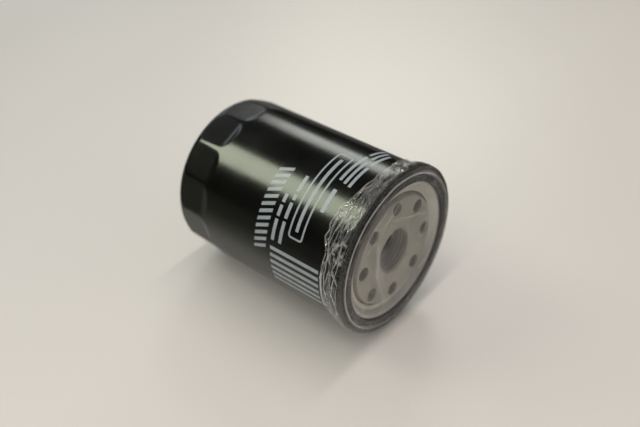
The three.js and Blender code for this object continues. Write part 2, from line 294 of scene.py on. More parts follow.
class Shader:
    """A material under construction, patterned in object coordinates."""
    def __init__(self, name):
        self.material = bpy.data.materials.new(name)
        self.material.use_nodes = True
        self.tree = self.material.node_tree
        self.tree.nodes.clear()
        self.output = self.node("ShaderNodeOutputMaterial")
        self.coords = self.node("ShaderNodeTexCoord").outputs["Object"]

    def node(self, kind, inputs={}, **settings):
        return add_node(self.tree, kind, inputs, **settings)

    def num(self, socket):
        return Num(self.tree, socket)

    def mm(self, axes):
        """The named object coordinates, in millimetres."""
        split = self.node("ShaderNodeSeparateXYZ", {0: self.coords})
        return [self.num(split.outputs["xyz".index(axis)]) * 1000.0 for axis in axes]

    def texture(self, kind, inputs):
        mapping = self.node("ShaderNodeMapping", {"Vector": self.coords})
        return self.num(self.node(kind, {**inputs, "Vector": mapping.outputs[0]}).outputs[0])

    def noise(self, scale, detail, rough, distort=0.0):
        return self.texture("ShaderNodeTexNoise", {
            "Scale": scale, "Detail": detail, "Roughness": rough, "Distortion": distort})

    def voronoi(self, scale):
        return self.texture("ShaderNodeTexVoronoi", {"Scale": scale})

    def mix(self, factor, first, second):
        node = self.node("ShaderNodeMix", {0: factor, 6: first, 7: second}, data_type="RGBA")
        return node.outputs[2]

    def bump(self, height, strength, dist, over=None):
        """A bumped normal; dist is in metres, over is the normal it is laid on."""
        inputs = {"Strength": strength, "Distance": dist, "Height": height}
        if over is not None:
            inputs["Normal"] = over
        return self.node("ShaderNodeBump", inputs).outputs[0]

    def surface(self, socket):
        feed(self.tree, self.output.inputs["Surface"], socket)
        return self.material

    def principled(self, color, rough, normal, metal=0.0, specular=0.5):
        node = self.node("ShaderNodeBsdfPrincipled", {
            "Base Color": color, "Roughness": rough, "Metallic": metal, "Normal": normal,
            "Specular IOR Level": specular})
        return self.surface(node.outputs[0])


# -------------------------------------------------------------- can's paint
MM_PER_DEGREE = PI / 180 * CAN_RADIUS

# Printed blocks: (angles in degrees), (x from, x to), corner radius[, outline width]
PRINT_BLOCKS = [
    ((45, 51), (53.4, 54.9), 0.25), ((53, 60.5), (53.4, 54.9), 0.25),
    ((62.5, 77.5), (53.4, 54.9), 0.25),
    ((29, 41), (57.0, 58.5), 0.25), ((43, 47), (57.0, 58.5), 0.25),
    ((49, 60), (57.0, 58.5), 0.25), ((62, 77.5), (57.0, 58.5), 0.25),
    ((1.5, 70), (60.7, 67.5), 1.4, 0.75), ((7, 64.5), (63.4, 64.8), 0.3),
    ((29, 46), (70.0, 71.7), 0.4),
    ((-6, 22), (69.2, 70.45), 0.2), ((-27, -9), (69.2, 70.45), 0.2),
    ((-2, 23), (71.6, 72.85), 0.2), ((-24, -5), (71.6, 72.85), 0.2),
    ((4, 24), (74.0, 75.25), 0.2), ((-20, 1), (74.0, 75.25), 0.2),
]
# Striped panels, each with a rule beside it: (angles in degrees), (x from, x to)
PRINT_PANELS = [((82, 112), (53.4, 76.8)), ((-112, -31), (48.0, 76.8))]
PANEL_RULE = (77.6, 78.5)


def block_mask(arc, x, angles, span, corner, line=None):
    """A rounded block, solid or an outline; arc is the distance round the can."""
    softness = 22.0  # mask change per mm across an edge
    arc0, arc1 = (angle * MM_PER_DEGREE for angle in angles)
    x0, x1 = span
    across = (arc - (arc0 + arc1) / 2).abs() - ((arc1 - arc0) / 2 - corner)
    along = (x - (x0 + x1) / 2).abs() - ((x1 - x0) / 2 - corner)
    distance = hypot(across.max(0.0), along.max(0.0)) + across.max(along).min(0.0) - corner
    if line:
        distance = (distance + line / 2).abs() - line / 2
    return (0.5 - distance * softness).clamp()


def hatch_mask(arc, x, angles, span, pitch, fill=0.50, slant=0.0):
    """Parallel bars of one width; the pitch is eased so that a bar ends at each side."""
    softness = 16.0
    arc0, arc1 = (angle * MM_PER_DEGREE for angle in angles)
    pitch = (arc1 - arc0) / (round((arc1 - arc0) / pitch - fill) + fill)

    def slanted():
        return arc + (x - span[0]) * slant

    wave = ((slanted() - arc0 - fill * pitch / 2) * (2 * PI / pitch)).cos()
    bars = ((wave - math.cos(PI * fill)) * (softness * pitch / (2 * PI)) + 0.5).clamp()
    return block_mask(slanted(), x, angles, span, corner=0.1) * bars


def print_mask(arc, x):
    masks = [hatch_mask(arc, x, (31.5, 89.5), (45.4, 51.2), pitch=2.9, slant=0.40)]
    masks += [block_mask(arc, x, *block) for block in PRINT_BLOCKS]
    for angles, span in PRINT_PANELS:
        masks.append(hatch_mask(arc, x, angles, span, pitch=3.1))
        masks.append(block_mask(arc, x, angles, PANEL_RULE, corner=0.2))
    return reduce(Num.max, masks)


def paint_material():
    """Glossy black paint with slight orange peel and dust, and worn pale printing."""
    M = Shader("paint_black_printed")
    x, y, z = M.mm("xyz")
    fine = M.noise(scale=5200, detail=2, rough=0.6)
    peel = M.noise(scale=900, detail=2, rough=0.5)
    cloud = M.noise(scale=60, detail=4, rough=0.6)
    dust = M.noise(scale=2600, detail=3, rough=0.7).fade(0.70, 0.76)
    base = M.mix(cloud.fade(0.35, 0.7), (0.0030, 0.0031, 0.0028), (0.0052, 0.0052, 0.0046))
    base = M.mix(dust * 0.35, base, (0.09, 0.088, 0.08))
    rough = cloud.remap(0.3, 0.7, to=(0.175, 0.215)) + (fine - 0.5) * 0.04
    mask = print_mask(turn_angle(y, z) * CAN_RADIUS, x)
    worn = M.noise(scale=1500, detail=4, rough=0.75).fade(0.30, 0.40, to=(0.55, 1.0))
    ink = mask * worn * hypot(y, z).rise(start=32.25, rate=8.0)
    ink_cloud = M.noise(scale=300, detail=3, rough=0.6).fade(0.3, 0.7)
    base = M.mix(ink, base, M.mix(ink_cloud, (0.25, 0.285, 0.31), (0.31, 0.345, 0.37)))
    normal = M.bump(peel, strength=0.035, dist=0.0003)
    normal = M.bump(fine, strength=0.06, dist=0.00005, over=normal)
    return M.principled(base, rough + ink * 0.22, normal)


# ---------------------------------------------------------- other materials
def steel_material(name, light, dark, rough, metal=0.85, grain=1.0, stain=0.35):
    """Sheet steel: turned rings about X, fine grain and faint stains."""
    M = Shader(name)
    y, z = M.mm("yz")
    cloud = M.noise(scale=90, detail=5, rough=0.62)
    fine = M.noise(scale=2600, detail=3, rough=0.65)
    stained = M.noise(scale=140, detail=6, rough=0.7, distort=0.6).fade(0.54, 0.72)
    color = M.mix(cloud.fade(0.3, 0.7), dark, light)
    color = M.mix(stained * stain, color, (0.16, 0.12, 0.08))
    rough = cloud.remap(0.3, 0.7, to=rough) + stained * 0.15 + (fine - 0.5) * 0.12 * grain
    normal = M.bump(fine, strength=0.12 * grain, dist=0.00008)
    ring_pitch = 0.34
    wander = M.noise(scale=900, detail=2, rough=0.5)
    rings = ((hypot(y, z) + wander * 0.25) * (2 * PI / ring_pitch)).sin() * 0.5 + 0.5
    normal = M.bump(rings, strength=0.05, dist=0.00004, over=normal)
    return M.principled(color, rough, normal, metal)


def rubber_material(name, dark, light, rough=(0.5, 0.7)):
    """Rubber with a faint dusty bloom."""
    M = Shader(name)
    cloud = M.noise(scale=150, detail=4, rough=0.6)
    fine = M.noise(scale=3800, detail=3, rough=0.6)
    bloom = M.noise(scale=420, detail=5, rough=0.7).fade(0.55, 0.78)
    color = M.mix(cloud.fade(0.3, 0.7), dark, light)
    color = M.mix(bloom * 0.18, color, tuple(0.35 * (a + 0.12) for a in light))
    normal = M.bump(fine, strength=0.25, dist=0.00008)
    return M.principled(color, cloud.remap(0.3, 0.7, to=rough), normal, specular=0.4)


def paper_material():
    M = Shader("paper_media")
    fibre = M.noise(scale=700, detail=5, rough=0.7, distort=1.2)
    cloud = M.noise(scale=70, detail=3, rough=0.5)
    dots = M.voronoi(scale=1100)
    color = M.mix(fibre.fade(0.3, 0.7), (0.50, 0.33, 0.13), (0.70, 0.52, 0.26))
    color = M.mix(cloud.fade(0.4, 0.7, to=(0, 0.4)), color, (0.56, 0.36, 0.15))
    normal = M.bump(fibre, strength=0.4, dist=0.0002)
    normal = M.bump(dots, strength=0.2, dist=0.0001, over=normal)
    rough = fibre.remap(0.3, 0.7, to=(0.75, 0.95))
    return M.principled(color, rough, normal, specular=0.2)


def spring_material():
    M = Shader("spring_wire")
    grain = M.noise(scale=500, detail=3, rough=0.6)
    cloud = M.noise(scale=120, detail=3, rough=0.5)
    color = M.mix(cloud.fade(0.35, 0.65), (0.13, 0.12, 0.115), (0.20, 0.18, 0.16))
    normal = M.bump(grain, strength=0.15, dist=0.0001)
    return M.principled(color, grain.remap(0.3, 0.7, to=(0.28, 0.45)), normal, metal=0.9)


def bond_material():
    """Pitted red-brown plastisol."""
    M = Shader("plastisol_bond")
    cloud = M.noise(scale=220, detail=4, rough=0.6)
    pits = M.voronoi(scale=900)
    color = M.mix(cloud.fade(0.3, 0.7), (0.33, 0.055, 0.022), (0.46, 0.09, 0.035))
    normal = M.bump(pits, strength=0.25, dist=0.00015)
    return M.principled(color, cloud.remap(0.3, 0.7, to=(0.4, 0.6)), normal)


def nylon_material():
    M = Shader("valve_nylon")
    cloud = M.noise(scale=260, detail=4, rough=0.6)
    fine = M.noise(scale=3000, detail=2, rough=0.5)
    color = M.mix(cloud.fade(0.3, 0.7), (0.018, 0.018, 0.017), (0.035, 0.034, 0.032))
    normal = M.bump(fine, strength=0.2, dist=0.0001)
    return M.principled(color, fine.remap(0.3, 0.7, to=(0.38, 0.52)), normal)


def lid_material():
    """Zinc-plated sheet with painted shade on one side of the ring; black paint covers it outside
    a radius of about 31 mm.
    """
    M = Shader("lid_zinc_and_paint")
    y, z = M.mm("yz")
    radius = hypot(y, z)
    cloud = M.noise(scale=90, detail=5, rough=0.62)
    fine = M.noise(scale=2600, detail=3, rough=0.65)
    ragged = M.noise(scale=500, detail=3, rough=0.6)
    black = (radius + (ragged - 0.5) * 0.6).rise(start=31.2, rate=6.0)
    zinc = M.mix(cloud.fade(0.3, 0.7), (0.66, 0.65, 0.60), (0.80, 0.79, 0.73))
    # painted shade: the zinc is darkened towards one side of the ring; middle and half width in
    # radians
    middle, half_width = 0.95, 1.15
    painted_shade_side = (1.0 - (turn_angle(y, z) - middle).abs() / half_width).clamp().min(0.5) * 2.0
    painted_shade_side = painted_shade_side * radius.rise(start=25.2, rate=0.9)
    zinc = M.mix((painted_shade_side * (0.72 + -0.5 + 0.0 if False else (cloud - 0.5) + 0.72)).clamp(),
                 zinc, (0.10, 0.098, 0.088))
    color = M.mix(black, zinc, (0.009, 0.009, 0.008))
    rough = cloud.remap(0.3, 0.7, to=(0.36, 0.5)) * (1.0 - black) + black * 0.27
    rough = rough + (fine - 0.5) * 0.06
    metal = (1.0 - black) * 0.5
    return M.principled(color, rough, M.bump(fine, strength=0.08, dist=0.00006), metal)


# -------------------------------------------------------------- clear film
# Creases in the face: (y, z) start, (y, z) end, height, half width, milkiness
CREASES = [
    ((0, 25), (-12.5, 14), 0.88, 0.34, 0.22), ((-11, 14.8), (-20.5, 9.8), 0.75, 0.30, 0.19),
    ((-13.4, 13), (-13.2, -6.5), 0.50, 0.77, 0.17), ((-13.4, -4.5), (-8.0, -19), 0.50, 0.68, 0.14),
    ((-14.5, -7.5), (-24, -17), 0.75, 0.30, 0.20), ((-7.5, -16), (-13, -22.5), 0.62, 0.30, 0.15),
    ((18, 10), (16, 0), 0.50, 0.38, 0.12), ((17, 1), (9, 2.5), 0.38, 0.42, 0.09),
    ((-7, 17.5), (7, 12.5), 0.50, 0.42, 0.12), ((5, 13.2), (16.5, 10), 0.50, 0.42, 0.10),
    ((6.5, -16.5), (-6, -20.5), 0.50, 0.42, 0.10), ((22, -12), (8, -18.8), 0.62, 0.42, 0.14),
    ((-4, 27), (-24, 13), 0.38, 0.51, 0.09), ((24, 6), (22, -12), 0.38, 0.51, 0.09),
]
# Painted sheens, drawn as milky bands fading to one side: (y, z) start, (y, z) end, signed width,
# whiteness
PAINTED_SHEEN_BANDS = [
    ((-13.3, 12.8), (-12.9, -11.5), -6.0, 0.15), ((-21.0, 9.5), (-4.0, 21.0), -3.5, 0.08),
    ((-6.0, -17.0), (-14.5, -25.0), 4.0, 0.09), ((16.5, 3.0), (19.5, 15.0), 5.0, 0.06),
]


def film_creases(y, z, warp):
    """Total height of the creases, and total whiteness of the creases with the painted sheen
    bands.
    """
    def from_line(start, end, width, end_rate):
        """Sideways distance from a bent line, in widths, and a mask that fades at its ends."""
        (y0, z0), (y1, z1) = start, end
        length = math.hypot(y1 - y0, z1 - z0)
        dy, dz = (y1 - y0) / length, (z1 - z0) / length
        along = (y - y0) * dy + (z - z0) * dz
        bend = (warp - 0.5) * 2.6
        aside = (((y - y0) * dz - (z - z0) * dy) + bend) / width
        return aside, (along * end_rate).clamp() * ((length - along) * end_rate).clamp()

    heights, milk_and_sheen = [], []
    for start, end, height, width, whiteness in CREASES:
        aside, ends = from_line(start, end, width, end_rate=0.25)
        heights.append((1.0 - aside.abs()).max(0.0) * ends * height)
        milk_and_sheen.append((1.0 - aside.abs() * 0.4).max(0.0) * ends * whiteness)
    # painted sheens on the face
    for start, end, width, whiteness in PAINTED_SHEEN_BANDS:
        aside, ends = from_line(start, end, width, end_rate=0.12)
        milk_and_sheen.append((1.0 - aside).clamp() * (aside * 14.0 + 0.5).clamp() * ends * whiteness)
    return reduce(Num.__add__, heights), reduce(Num.__add__, milk_and_sheen)


def film_material():
    """Thin clear film: glossy by angle, folded round the seam and creased across the face."""
    M = Shader("film_clear")
    x, y, z = M.mm("xyz")
    radius = hypot(y, z)
    angle = turn_angle(y, z)

    # object coordinates pushed about, so that the fold nets wander
    wobble = M.node("ShaderNodeTexNoise", {"Scale": 110, "Detail": 1.5, "Vector": M.coords})
    push = (0.0022, 0.007, 0.007)
    warped = M.node("ShaderNodeVectorMath", {0: wobble.outputs["Color"], 1: push, 2: M.coords},
                    operation="MULTIPLY_ADD")

    def net(scale, x_stretch, width):
        """Ridges along the edges of cells."""
        mapping = M.node("ShaderNodeMapping",
                         {"Scale": (x_stretch, 1, 1), "Vector": warped.outputs[0]})
        cells = M.node("ShaderNodeTexVoronoi", {"Scale": scale, "Vector": mapping.outputs[0]},
                       feature="DISTANCE_TO_EDGE")
        return (1.0 - M.num(cells.outputs["Distance"]) / width).max(0.0)

    # where things lie: outside the face, below the crest, on the underside, on the gasket
    skirt = radius.rise(start=31.0, rate=0.8)
    wall = x.fall(end=87.3, rate=1.1)
    under = angle.fade(1.45, 2.0, to=(0.0, 1.0))
    over_gasket = radius.rise(start=27.6, rate=1.4) * radius.fall(end=31.3, rate=1.6)
    busy = (1.0 - (angle - 0.45).abs() / 0.80).clamp()
    busy = busy * M.noise(scale=140, detail=2, rough=0.5).fade(0.42, 0.55)
    present = M.noise(scale=90, detail=2, rough=0.5).fade(0.36, 0.50, to=(0.30, 1.0)).max(under)

    folds = net(scale=108, x_stretch=4.6, width=0.075) * skirt * wall * present
    fine_folds = net(scale=230, x_stretch=3.6, width=0.10) * skirt * wall * busy
    ripple = M.noise(scale=240, detail=2, rough=0.5, distort=0.2)
    cling = M.noise(scale=300, detail=2, rough=0.6, distort=0.7).fade(0.53, 0.60) * over_gasket
    cling = cling * M.noise(scale=70, detail=2, rough=0.5).fade(0.42, 0.56, to=(0.2, 1.0))
    warp = M.noise(scale=160, detail=3, rough=0.5)
    crease_height, milk_and_sheen = film_creases(y, z, warp)
    face = radius.fall(end=31.0, rate=0.8)

    height = folds * 0.46 + fine_folds * 0.26 + crease_height * face + cling * 0.50
    normal = M.bump(height, strength=1.0, dist=0.00045)
    normal = M.bump(ripple, strength=0.04, dist=0.0006, over=normal)

    # share of mirror-like reflection, growing as the film is seen edge-on
    incoming = M.node("ShaderNodeNewGeometry").outputs["Incoming"]
    dot = M.node("ShaderNodeVectorMath", {0: incoming, 1: normal}, operation="DOT_PRODUCT")
    facing = M.num(dot.outputs["Value"]).abs()
    edge_on = (1.0 - facing).max(0.0) ** 5.0
    # gloss is weaker in the skirt between the fold crests: painted shade in the hollows
    crest = (folds.max(fine_folds) * 1.6).clamp()
    gloss = (edge_on * 0.96 + 0.033).min(0.95) * (0.62 - skirt * (1.0 - crest) * 0.32)

    # share of milky scatter, on top of the mesh's own haze_and_painted_light attribute: real haze,
    # with painted glints along the folds and painted sheens on the face
    stored = M.num(M.node("ShaderNodeAttribute", attribute_name="haze_and_painted_light").outputs["Fac"])
    smear = M.noise(scale=45, detail=5, rough=0.65, distort=1.5).remap(0.35, 0.7, to=(0.5, 1.3))
    # haze along the fold crests: partly real whitening of the folds, partly painted glints
    fold_haze_and_glints = (folds * 0.24 + fine_folds * 0.09 + under * skirt * 0.018) * smear
    haze_and_painted_light = (stored + fold_haze_and_glints + milk_and_sheen * face + cling * 0.06).clamp().min(0.5)

    glossy = M.node("ShaderNodeBsdfGlossy", {
        "Color": (1, 1, 1), "Normal": normal,
        "Roughness": ripple.remap(0.3, 0.7, to=(0.03, 0.06))})
    clear = M.node("ShaderNodeBsdfTransparent", {"Color": (0.985, 0.985, 0.98)})
    milky = M.node("ShaderNodeBsdfDiffuse", {"Color": (0.80, 0.79, 0.77)})
    body = M.node("ShaderNodeMixShader", {0: haze_and_painted_light, 1: clear.outputs[0], 2: milky.outputs[0]})
    film = M.node("ShaderNodeMixShader", {0: gloss, 1: body.outputs[0], 2: glossy.outputs[0]})
    return M.surface(film.outputs[0])


# by material slot
MATERIALS = {
    "black_paint": paint_material(),
    "plate_steel": steel_material("steel_plate", light=(0.565, 0.545, 0.485),
                                  dark=(0.43, 0.415, 0.37), rough=(0.40, 0.55),
                                  metal=0.5, grain=1.4),
    "tin_steel": steel_material("steel_tinplate", light=(0.55, 0.54, 0.51),
                                dark=(0.42, 0.41, 0.38), rough=(0.22, 0.36), stain=0.2),
    "black_rubber": rubber_material("rubber_gasket", dark=(0.006, 0.006, 0.006),
                                    light=(0.011, 0.011, 0.0105), rough=(0.34, 0.46)),
    "valve_rubber": rubber_material("rubber_valve", dark=(0.016, 0.013, 0.011),
                                    light=(0.035, 0.028, 0.024)),
    "seam_compound": rubber_material("seam_compound", dark=(0.03, 0.03, 0.028),
                                     light=(0.06, 0.057, 0.052)),
    "filter_paper": paper_material(),
    "spring_steel": spring_material(),
    "plastisol": bond_material(),
    "valve_nylon": nylon_material(),
    "clear_film": film_material(),
    "zinc_steel": lid_material(),
}

# ------------------------------------------------------------------ the can
FLATS = 14
APOTHEM = 31.85
STEPS_PER_FLAT = 18
DISH_START, DISH_END = 19.0, 28.0  # radii between which the closed end curves back
DISH_DEPTH = 0.9
FLATS_END = 21.5
CENTRE_RING = 0.6  # radius of the first ring round the axis

# The can's open edge, turned out and back: (x, r)
CAN_LIP = [(85.6, 32.55), (85.8, 32.8), (85.5, 32.85), (85.1, 32.9), (85.1, 33.25), (86.2, 33.3),
           (86.4, 33.1), (86.4, 32.2)]


def soft_min(a, b, blend):
    h = np.clip(0.5 + 0.5 * (b - a) / blend, 0, 1)
    return b * (1 - h) + a * h - blend * h * (1 - h)


def can_outline():
    """The (x, r) lines of the outside and the inside of the can."""
    def dish(r):
        return DISH_DEPTH * ((r - DISH_START) / (DISH_END - DISH_START)) ** 2

    # the dish's end and the corner's start share their tangent
    slope = math.atan(2 * DISH_DEPTH / (DISH_END - DISH_START))
    corner = (CAN_RADIUS - DISH_END) / (1 - math.sin(slope))
    centre_x = DISH_DEPTH + corner * math.cos(slope)
    inner_radius = CAN_RADIUS - SHEET

    def arc(radius, angles):
        return [(centre_x - radius * math.cos(a), CAN_RADIUS - corner + radius * math.sin(a))
                for a in angles]

    def wall(r, start, end, count):
        return [(x, r) for x in np.linspace(start, end, count)[1:]]

    outer = [(0.0, r) for r in np.linspace(CENTRE_RING, DISH_START, 7)]
    outer += [(dish(r), r) for r in np.linspace(DISH_START, DISH_END, 10)[1:]]
    outer += arc(corner, np.linspace(slope, PI / 2, 15)[1:])
    wall_start = outer[-1][0]
    outer += wall(CAN_RADIUS, wall_start, 14.0, 6)
    outer += wall(CAN_RADIUS, 14.0, FLATS_END, 22)
    outer += wall(CAN_RADIUS, FLATS_END, 85.3, 16)

    inner = [(86.2, inner_radius)] + wall(inner_radius, 86.2, FLATS_END, 10)
    inner += wall(inner_radius, FLATS_END, 14, 12)
    inner += wall(inner_radius, 14, wall_start, 4)
    inner += arc(corner - SHEET, np.linspace(PI / 2, slope, 9)[1:])
    inner += [(SHEET + dish(r), r) for r in np.linspace(27.9, DISH_START, 5)[1:]]
    inner += [(SHEET, 10.0), (SHEET, CENTRE_RING)]
    return outer, inner


def build_can():
    # angle steps crowd towards the corners between the flats
    t = np.linspace(-1, 1, STEPS_PER_FLAT + 1)[:-1]
    sector = 2 * PI / FLATS
    within = (np.sin(t * PI / 2) * 0.75 + t * 0.25) * sector / 2
    angles = np.concatenate([k * sector + within for k in range(FLATS)])
    from_middle = np.tile(within, FLATS)[:, None]

    outer, inner = can_outline()
    outline = np.array(outer + CAN_LIP + inner)
    columns, rows = len(outline), len(angles)
    along, radius, angle = spin(outline, angles)
    # the flats' depth runs out over a few millimetres, in a soft curve
    run_out = np.clip((along - 15.6) / 4.6, 0, 1)
    apothem = APOTHEM - 0.012 * np.clip(15.6 - along, 0, 12) + 1.0 * run_out ** 1.7
    apothem = np.where(along > 20.6, 40.0, apothem)
    flat = apothem / np.cos(from_middle)
    outside, inside = slice(0, len(outer)), slice(columns - len(inner), columns)
    radius[:, outside] = soft_min(radius[:, outside], flat[:, outside], 0.10)
    radius[:, inside] = soft_min(radius[:, inside], flat[:, inside] - SHEET, 0.10)

    verts = to_points(along, radius, angle).reshape(-1, 3)
    verts = np.vstack([verts, [[0.0, 0, 0], [SHEET, 0, 0]]])
    faces = grid_faces(rows, columns, close_columns=False)
    outer_centre, inner_centre = rows * columns, rows * columns + 1
    for i in range(rows):
        row, following = i * columns, (i + 1) % rows * columns
        faces.append((outer_centre, row, following))
        faces.append((inner_centre, following + columns - 1, row + columns - 1))
    new_part("can_shell", verts, faces, "housing", "black_paint", "can", smooth_angle=50)


build_can()

# ----------------------------------------------------- lid, plate and gasket
# Corners of the lid: (x, r, corner radius)
LID = [
    (85.0, 23.4, 0.1), (85.0, 24.9, 0.3), (86.5, 26.5, 0.3), (86.6, 27.0, 0.1),
    (82.8, 27.0, 0.5), (82.8, 31.6, 0.5), (87.3, 31.6, 0.2), (87.3, 33.6, 0.2),
    (84.8, 33.6, 0.2), (84.8, 32.75, 0.1), (84.2, 32.75, 0.25), (84.2, 34.2, 0.45),
    (87.9, 34.2, 0.85), (87.9, 31.0, 0.5), (83.4, 31.0, 0.3), (83.4, 27.95, 0.3),
    (87.6, 27.95, 0.22), (87.55, 26.7, 0.45), (85.6, 24.9, 0.5), (85.6, 23.4, 0.2),
]


def seam_waves(along, radius, angle):
    """The rolled seam is a little wavy."""
    waves = (0.035 * np.sin(angle * 9 + 0.7) + 0.03 * np.sin(angle * 23 + 2.0)
             + 0.02 * np.sin(angle * 41))
    on_seam = radius > 33.0
    radius = np.where(on_seam, radius + waves * 0.8, radius)
    along = np.where(on_seam & (along < 85), along + waves * 1.5, along)
    return along, radius


lathe("lid_sheet", densify(round_corners(LID), 1.2), 192, "housing", "zinc_steel",
      "seaming_lid", seam_waves)

THREAD_PITCH = 1.5875
THREAD_MINOR, THREAD_MAJOR = 8.73, 9.60  # radii
BORE_START, BORE_END = 79.0, 86.2
# Corners of the tapped plate: (x, r, corner radius)
PLATE = [
    (BORE_START, THREAD_MINOR, 0), (BORE_END, THREAD_MINOR, 0), (86.9, 9.6, 0.15),
    (86.9, 21.9, 0.5), (86.5, 22.4, 0.4), (84.6, 23.0, 0.5), (84.6, 26.5, 0.3),
    (81.6, 26.5, 0.3), (81.6, 22.9, 0.5), (83.9, 21.6, 0.5), (83.9, 12.2, 0.5),
    (83.1, 11.2, 0.5), (BORE_START, 11.2, 0.3),
]
PLATE_HOLES = 8
HOLE_CIRCLE = 18.7
# Drill for the plate's holes, with a chamfer near the face: (x, radius)
PLATE_DRILL = [(80.0, 2.6), (86.62, 2.6), (86.95, 2.95), (88.5, 2.95)]


def plate_outline():
    """The bore in fine steps, then the rest from the bore's outer end round; and bore length."""
    bore = [np.array([x, THREAD_MINOR]) for x in np.linspace(BORE_START, BORE_END, 84)]
    rest = [p for p in round_corners(PLATE, 3) if abs(p[1] - THREAD_MINOR) >= 1e-6]
    first = min(range(len(rest)), key=lambda i: np.hypot(rest[i][0] - 86.9, rest[i][1] - 9.5))
    return np.array(bore + rest[first:] + rest[:first]), len(bore)


def plate_drills():
    steps = 40
    verts, faces = [], []
    for hole in range(PLATE_HOLES):
        angle = hole * 2 * PI / PLATE_HOLES
        y, z = -HOLE_CIRCLE * math.sin(angle), HOLE_CIRCLE * math.cos(angle)
        quads, first, last = drill_faces(len(verts), steps, len(PLATE_DRILL))
        for k in range(steps):
            t = k / steps * 2 * PI
            verts += [(x, y + r * math.cos(t), z + r * math.sin(t)) for x, r in PLATE_DRILL]
        faces += quads + [first[::-1], last]
    return mesh_object("cutter", verts, faces)


def build_plate():
    outline, bore_count = plate_outline()

    def thread(along, radius, angle):
        """A true helix in the bore, faded at both ends."""
        x, turn = along[:, :bore_count], angle[:, :bore_count] / (2 * PI)
        t = ((x - BORE_START) / THREAD_PITCH - turn) % 1.0
        ridge = np.clip(1.35 * (1 - np.abs(t - 0.5) * 2) - 0.12, 0, 1)
        fade = np.clip((x - BORE_START) / 0.9, 0, 1) * np.clip((86.25 - x) / 0.5, 0, 1)
        radius[:, :bore_count] = THREAD_MINOR + (THREAD_MAJOR - THREAD_MINOR) * ridge * fade
        return along, radius

    plate = lathe("plate_tapped", outline, 144, "housing", "plate_steel", "tapping_plate",
                  thread, smooth_angle=35)
    cut_away(plate, [plate_drills()])


build_plate()

# Corners of the gasket: (x, r, corner radius)
GASKET = [(83.5, 28.05, 0.3), (83.5, 30.85, 0.3), (88.72, 30.75, 0.5), (88.72, 28.15, 0.45)]


def gasket_waves(along, radius, angle):
    return along, radius + 0.02 * np.sin(angle * 3 + 1)


def sealant_waves(along, radius, angle):
    return along + 0.04 * np.sin(angle * 13), radius + 0.05 * np.sin(angle * 29)


lathe("gasket_ring", densify(round_corners(GASKET, 5), 0.8), 192, "housing", "black_rubber",
      "base_gasket", gasket_waves)
lathe("sealant_ring", round_corners(ring_section(86.65, 87.1, 31.9, 33.1, corner=0.12), 3), 128,
      "housing", "seam_compound", "seam_sealant", sealant_waves)

# Corners of the rubber skirt behind the plate: (x, r, corner radius)
SKIRT = [
    (76.1, 11.6, 0.25), (82.4, 11.6, 0.25), (82.6, 12.3, 0.3), (81.6, 13.4, 0.5),
    (80.6, 22.6, 0.5), (81.3, 23.4, 0.3), (81.3, 25.2, 0.3), (80.5, 25.4, 0.3),
    (79.5, 23.2, 0.6), (80.4, 13.8, 0.6), (79.2, 12.8, 0.6), (76.1, 12.8, 0.3),
]
lathe("drainback_skirt", densify(round_corners(SKIRT), 1.5), 128, "drainback_valve",
      "valve_rubber", "anti_drainback_valve")

# -------------------------------------------------------------------- element
PLEATS = 36
PLEAT_STEPS = 20
MEDIA_START, MEDIA_END = 16.2, 73.0
MEDIA_INNER, MEDIA_OUTER = 14.35, 27.1  # radii
PAPER = 0.55  # thickness


def build_media():
    """One sheet whose centre line swings between two radii with rounded folds."""
    count = PLEATS * PLEAT_STEPS
    centre = []
    for k in range(count):
        pleat, within = divmod(k / PLEAT_STEPS, 1.0)
        swing = 1 - abs(2 * within - 1)
        eased = 0.5 - 0.5 * math.cos(PI * swing)
        depth = MEDIA_OUTER - MEDIA_INNER - PAPER
        radius = MEDIA_INNER + PAPER / 2 + depth * (0.82 * swing + 0.18 * eased)
        # the angle is shifted so that the sides of a fold run nearly parallel
        t = within - 0.5
        angle = (pleat + 0.5 + t * 0.78 + 0.066 * math.sin(2 * PI * t)) * 2 * PI / PLEATS
        centre.append((radius * math.cos(angle), radius * math.sin(angle)))
    centre = np.array(centre)
    tangent = np.roll(centre, -1, 0) - np.roll(centre, 1, 0)
    normal = np.stack([tangent[:, 1], -tangent[:, 0]], -1)
    normal /= np.linalg.norm(normal, axis=1)[:, None]
    sides = np.vstack([centre + normal * PAPER / 2, centre - normal * PAPER / 2])

    stations = np.linspace(MEDIA_START, MEDIA_END, 9)
    verts = [(x, y, z) for x in stations for y, z in sides]

    def index(station, side, k):
        return (station * 2 + side) * count + k % count

    faces = []
    for i in range(len(stations) - 1):
        for k in range(count):
            faces.append((index(i, 0, k), index(i + 1, 0, k),
                          index(i + 1, 0, k + 1), index(i, 0, k + 1)))
            faces.append((index(i, 1, k), index(i, 1, k + 1),
                          index(i + 1, 1, k + 1), index(i + 1, 1, k)))
    last = len(stations) - 1
    for k in range(count):
        faces.append((index(0, 0, k), index(0, 0, k + 1), index(0, 1, k + 1), index(0, 1, k)))
        faces.append((index(last, 0, k), index(last, 1, k),
                      index(last, 1, k + 1), index(last, 0, k + 1)))
    new_part("media_pleats", verts, faces, "element", "filter_paper", "pleated_media", 45)


